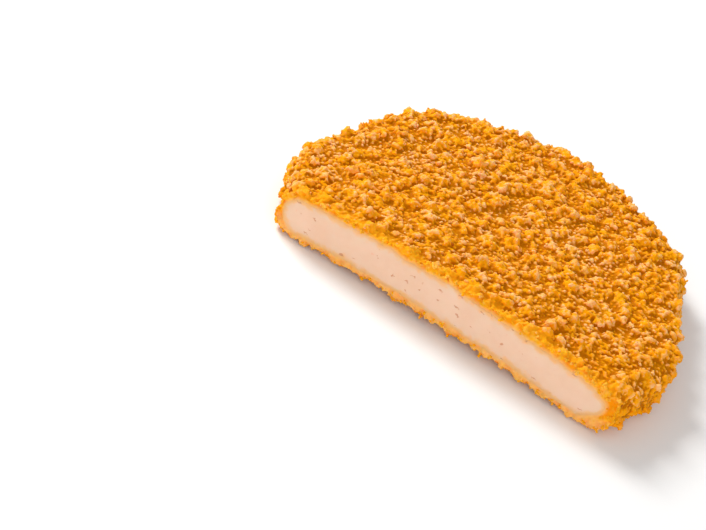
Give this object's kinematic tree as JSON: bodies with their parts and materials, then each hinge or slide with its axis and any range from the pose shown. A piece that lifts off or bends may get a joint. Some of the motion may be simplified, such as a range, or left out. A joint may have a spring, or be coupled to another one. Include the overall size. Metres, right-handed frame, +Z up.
{
  "type": "breaded chicken medallion",
  "caption": "Flat breaded chicken medallion with a slice cut off one side, showing pale meat inside a crumb coating.",
  "frame": {"origin": "on the underside, below the middle of the piece's box", "axes": "+Z up out of the underside, +X along the cut, and -Y out of the cut face, so the round side of the piece is towards +Y"},
  "size_m": [0.094, 0.0752, 0.0141],
  "materials": {
    "crumb_coating": "dry, rough, golden orange-brown fried breadcrumbs",
    "chicken_meat": "smooth, moist, pale pinkish cream minced chicken"
  },
  "bodies": {
    "root": {"chicken_meat": "chicken_meat", "crumb_coating": "crumb_coating"}
  },
  "joints": []
}
